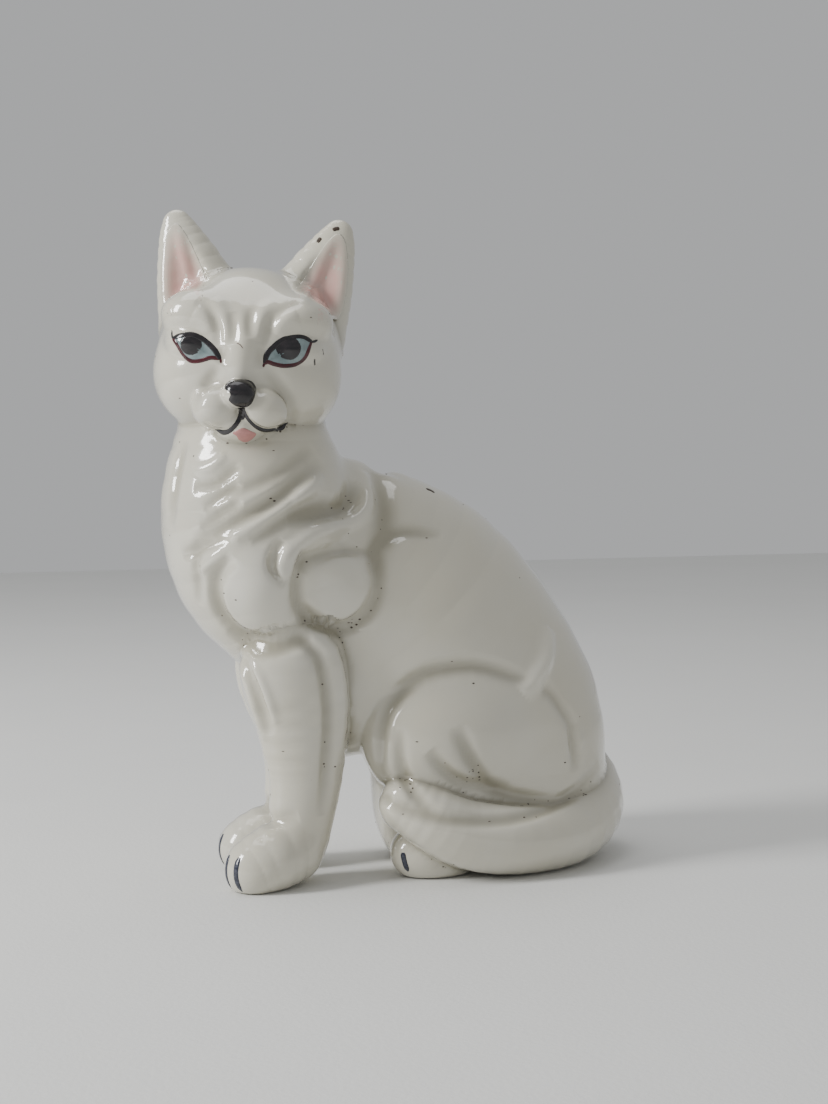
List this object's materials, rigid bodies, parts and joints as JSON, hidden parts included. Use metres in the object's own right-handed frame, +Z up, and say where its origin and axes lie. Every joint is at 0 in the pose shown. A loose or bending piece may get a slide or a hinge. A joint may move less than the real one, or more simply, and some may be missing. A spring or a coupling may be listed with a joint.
{
  "type": "ceramic cat figurine",
  "caption": "Seated glazed ceramic cat with its head turned to one side, a swirled ruff, forelegs together and a thick tail wrapped round one haunch; painted eyes, nose and toes",
  "frame": {"origin": "middle of the base on the surface the cat stands on, under the middle of its bounding box", "axes": "+Z up, -Y the way the body faces, +X the cat's left, which is the side its head is turned to and its tail is wrapped round"},
  "size_m": [0.072, 0.1492, 0.1914],
  "materials": {
    "white_glaze": "clear gloss glaze over a warm white body, with a few iron specks",
    "pink_blush": "soft pink stain under gloss glaze",
    "pink_enamel": "fired pink enamel, glossy",
    "blue_enamel": "fired grey-turquoise enamel, glossy",
    "black_enamel": "fired black enamel, glossy"
  },
  "bodies": {
    "root": {"body_casting": "white_glaze", "head_casting": "white_glaze", "left_ear": "white_glaze", "right_ear": "white_glaze", "left_foreleg": "white_glaze", "right_foreleg": "white_glaze", "tail": "white_glaze", "left_ear_blush": "pink_blush", "right_ear_blush": "pink_blush", "lower_lip": "pink_enamel", "left_eye_blue": "blue_enamel", "right_eye_blue": "blue_enamel", "left_pupil": "black_enamel", "right_pupil": "black_enamel", "left_eye_outline": "black_enamel", "right_eye_outline": "black_enamel", "nose_enamel": "black_enamel", "mouth_lines": "black_enamel", "left_forepaw_lines": "black_enamel", "right_forepaw_lines": "black_enamel", "left_hindpaw_lines": "black_enamel", "right_hindpaw_lines": "black_enamel"}
  },
  "joints": []
}
